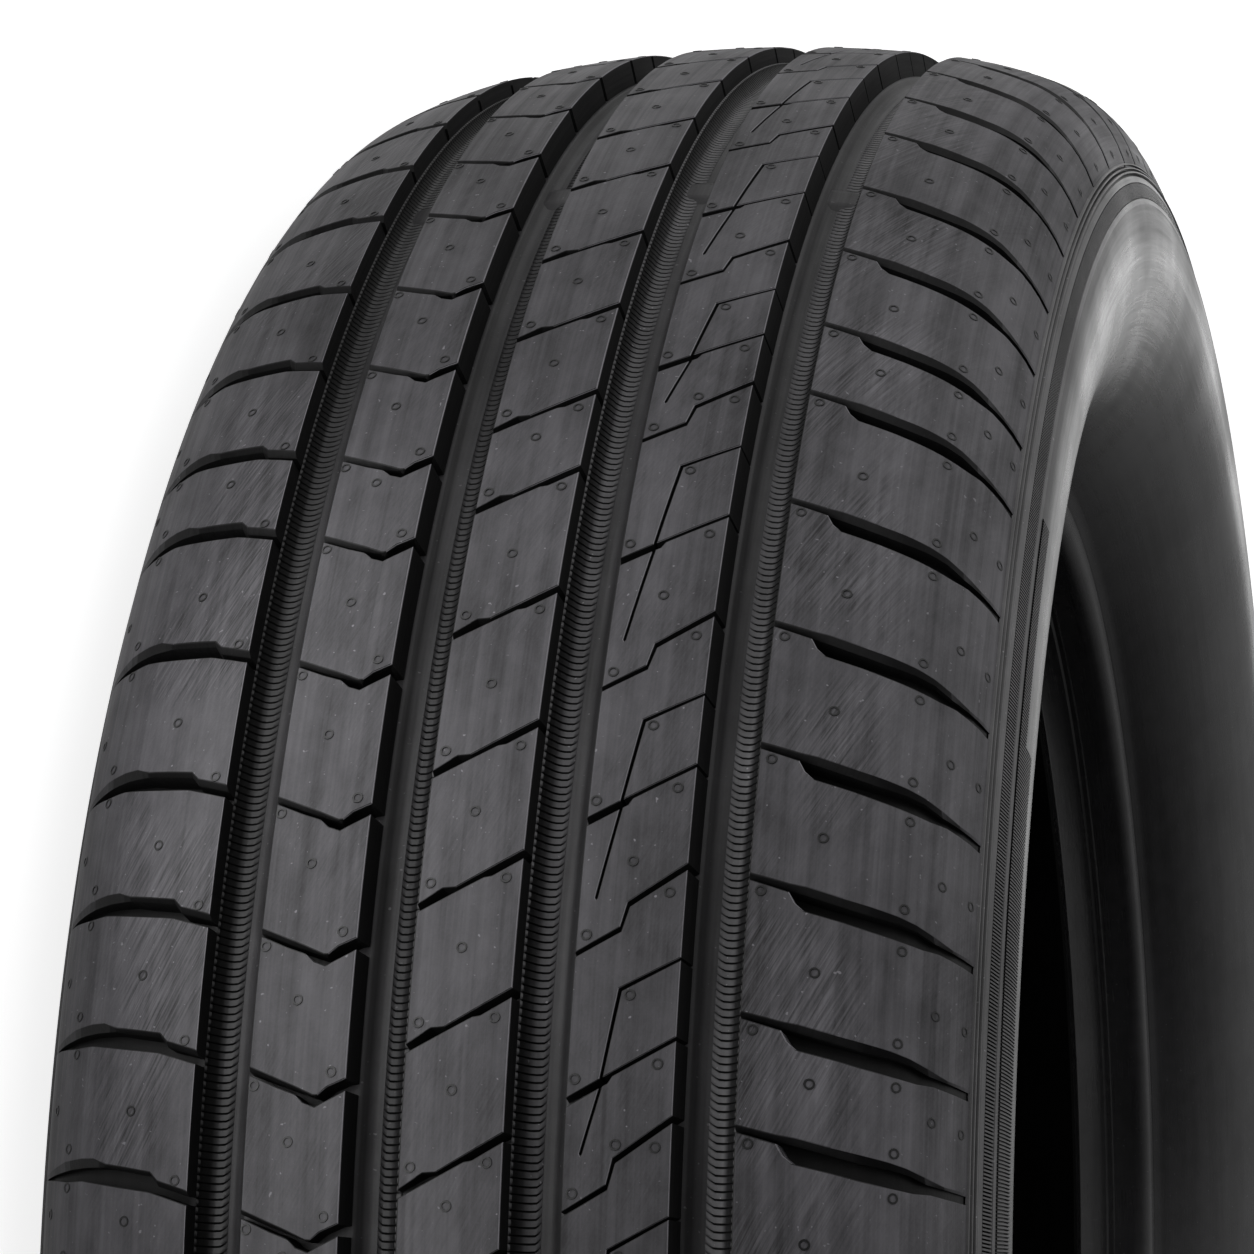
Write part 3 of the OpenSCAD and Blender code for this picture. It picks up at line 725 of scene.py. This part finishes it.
# The ridges under the tread edge are painted far paler than the wall, as painted light, with painted shade in
# the valleys between them
edge_lit_rubber = rubber("edge_lit_rubber", (0.098, 0.096, 0.099), 0.33, 0.5, valley_shade_rings=(282.78, 281.8, 280.7))
walls = (("upper", 1), ("lower", -1))
for name, side in walls:
    points = [edge_line[-1], wall_line(271.0), wall_line(268.5)] + outer_wall + into_rubber(chamber[:-4], 0.8)
    join_sectors(f"sidewall_{name}", spin_sector([(side * x, r) for x, r in points], 720), wall_rubber)
    points = edge_line + [(90.5, 272.0), (92.8, 281.5)]
    join_sectors(f"edge_ridges_{name}", spin_sector([(side * x, r) for x, r in points], 720), edge_lit_rubber, 25)

# Hatched bands
# Fine slanting ribs that the mould leaves on each sidewall under the ridges: one band all the way
# round, sunk a little, and a wider one below it in two stretches, each narrower at one end.
# The hatched ribs are painted paler than the wall, as painted light, and their slopes darker, as painted
# shade
hatch_lit_rubber = rubber("hatch_lit_rubber", (0.085, 0.083, 0.086), 0.36, 0.2, wear_and_shade=(0.80, 0.97))
hatch_count = 2310
hatch_rows = 6
# Each of the two stretches takes five sectors, and its narrow end one more
full_round = range(sectors)
in_stretches = [i for i in full_round if (i + 2) % 15 < 5]
stretch_ends = [i for i in full_round if (i + 2) % 15 == 5]


def hatched(name, side, top, foot, sunk, lean, height, places):
    """A band of one sidewall between two radii. Its ribs lag by the lean, as a share of a repeat."""
    section = []
    for i in range(hatch_rows + 1):
        down = i / hatch_rows
        x, r = wall_line(top + (foot - top) * down, sunk)
        section.append((side * x, r, side, 0.0, lean * down))
    knurled(name, section, hatch_lit_rubber, hatch_count, height, places=places)


for name, side in walls:
    hatched(f"hatch_{name}", side, 278.6, 275.0, -0.62, 0.3, 0.64, full_round)
    hatched(f"fine_hatch_{name}", side, 273.1, 264.3, -0.1, -0.3, 0.4, in_stretches)
    hatched(f"fine_hatch_end_{name}", side, 273.1, 269.3, -0.1, -0.15, 0.4, stretch_ends)

# Liner
# The smooth, airtight inner skin of the chamber, a thin layer of softer rubber cured on the inside.
# The liner is painted nearly black, as painted shade inside the chamber
liner_shade_rubber = rubber("liner_shade_rubber", (0.003, 0.003, 0.003), 0.75, 0.3, shine=0.15)
liner_line = chamber + [(-x, r) for x, r in chamber[::-1]]
liner_back = into_rubber(liner_line, 1.5)
join_sectors("liner", spin_sector(liner_line + liner_back[::-1], 360), liner_shade_rubber)

# Floor, light and camera
# A pale floor under the tyre, which lies on its side, soft lamps over it, and the camera.
bm = bmesh.new()
bmesh.ops.create_grid(bm, x_segments=1, y_segments=1, size=12)
floor = as_mesh(bm)
floor_object = bpy.data.objects.new("floor", floor)
bpy.context.collection.objects.link(floor_object)
paint = bpy.data.materials.new("floor_paint")
paint.use_nodes = True
nodes, links = paint.node_tree.nodes, paint.node_tree.links
shader = nodes["Principled BSDF"]
shader.inputs["Base Color"].default_value = (0.8, 0.8, 0.8, 1)
shader.inputs["Roughness"].default_value = 0.9
# Straight from the camera the floor is nearly white, and gloss on the rubber sees it dimmer
seen_glow, mirrored_glow = 0.84, 0.32
glow = nodes.new("ShaderNodeEmission")
ray = nodes.new("ShaderNodeLightPath")
mirrored = maths(paint.node_tree, "MULTIPLY", ray.outputs["Is Glossy Ray"], mirrored_glow)
links.new(maths(paint.node_tree, "MULTIPLY_ADD", ray.outputs["Is Camera Ray"], seen_glow, mirrored),
          glow.inputs["Strength"])
both = nodes.new("ShaderNodeAddShader")
links.new(shader.outputs[0], both.inputs[0])
links.new(glow.outputs[0], both.inputs[1])
links.new(both.outputs[0], nodes["Material Output"].inputs["Surface"])
floor.materials.append(paint)

world = bpy.data.worlds.new("studio")
bpy.context.scene.world = world
world.use_nodes = True
nodes, links = world.node_tree.nodes, world.node_tree.links
background = nodes["Background"]
background.inputs["Color"].default_value = (1, 1, 1, 1)
sky = nodes.new("ShaderNodeTexCoord")
# Soft panels round the studio: the way to each, how narrow it is, and how bright
panels = [((-0.692, -0.692, 0.208), 4, 0.45), ((-0.978, 0.0, 0.208), 4, 0.61),
          ((-0.692, 0.692, 0.208), 4, 0.09), ((-0.574, 0.0, 0.819), 4, 0.70),
          ((0.0, 0.574, 0.819), 4, 0.38), ((-0.258, 0.962, 0.087), 60, 1.6)]
brightness = 0.0
for way, narrow, strength in panels:
    facing = nodes.new("ShaderNodeVectorMath")
    facing.operation = "DOT_PRODUCT"
    facing.inputs[1].default_value = way
    links.new(sky.outputs["Generated"], facing.inputs[0])
    ahead_of = maths(world.node_tree, "MAXIMUM", facing.outputs["Value"], 0.0)
    brightness = maths(world.node_tree, "MULTIPLY_ADD", maths(world.node_tree, "POWER", ahead_of, narrow),
                       strength, brightness)
# The camera sees white there instead
ray = nodes.new("ShaderNodeLightPath")
white_or_lit = nodes.new("ShaderNodeMapRange")
white_or_lit.inputs["To Max"].default_value = 1.0
links.new(brightness, white_or_lit.inputs["To Min"])
links.new(ray.outputs["Is Camera Ray"], white_or_lit.inputs["Value"])
links.new(white_or_lit.outputs["Result"], background.inputs["Strength"])

# A round panel lying on the floor in front of the tyre, which lights the shoulder that faces down
low_panel = bpy.data.lights.new("low_panel", "AREA")
low_panel.shape = "DISK"
low_panel.size = 0.54
low_panel.energy = 1.3
holder = bpy.data.objects.new("low_panel", low_panel)
holder.location = (-0.20, -0.56, 0.006)
holder.rotation_euler = (pi, 0, 0)
holder.visible_camera = False
bpy.context.collection.objects.link(holder)

camera_data = bpy.data.cameras.new("camera")
camera_data.lens = 128.39
camera_data.sensor_width = 36
camera_data.shift_y = -0.001
camera_data.clip_start = 0.05
camera = bpy.data.objects.new("camera", camera_data)
bpy.context.collection.objects.link(camera)
right = Vector((-0.02095, 0.24308, 0.96978))
ahead = Vector((-0.14476, 0.95903, -0.24351))
right = (right - ahead * right.dot(ahead)).normalized()
ahead.normalize()
up = right.cross(ahead)
turned = Matrix((right, up, -ahead)).transposed().to_4x4()
camera.matrix_world = Matrix.Translation((-0.0014, -1.13445, middle + 0.24046)) @ turned
bpy.context.scene.camera = camera
bpy.context.scene.view_settings.view_transform = "Standard"
